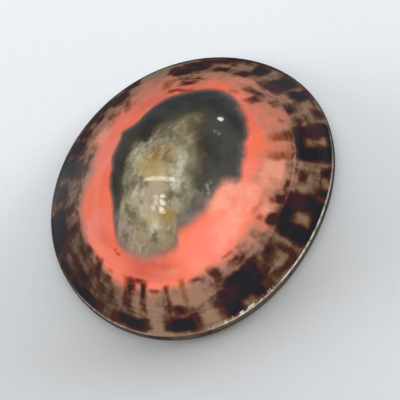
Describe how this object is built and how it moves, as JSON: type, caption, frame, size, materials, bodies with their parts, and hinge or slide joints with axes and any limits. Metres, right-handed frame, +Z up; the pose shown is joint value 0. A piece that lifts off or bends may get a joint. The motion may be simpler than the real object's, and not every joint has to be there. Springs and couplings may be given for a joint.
{
  "type": "limpet shell",
  "caption": "Polished oval limpet shell: a low thick-walled cap with an off-centre worn apex, open underneath, resting on its rim.",
  "frame": {"origin": "middle of the rim's length and width, on the surface that the rim rests on", "axes": "+X along the length of the shell towards its tail end, so the apex leans to -X; +Y across it; +Z up"},
  "size_m": [0.0658, 0.0572, 0.0248],
  "materials": {
    "shell": "polished, glossy natural shell"
  },
  "bodies": {
    "root": {"shell": "shell"}
  },
  "joints": []
}
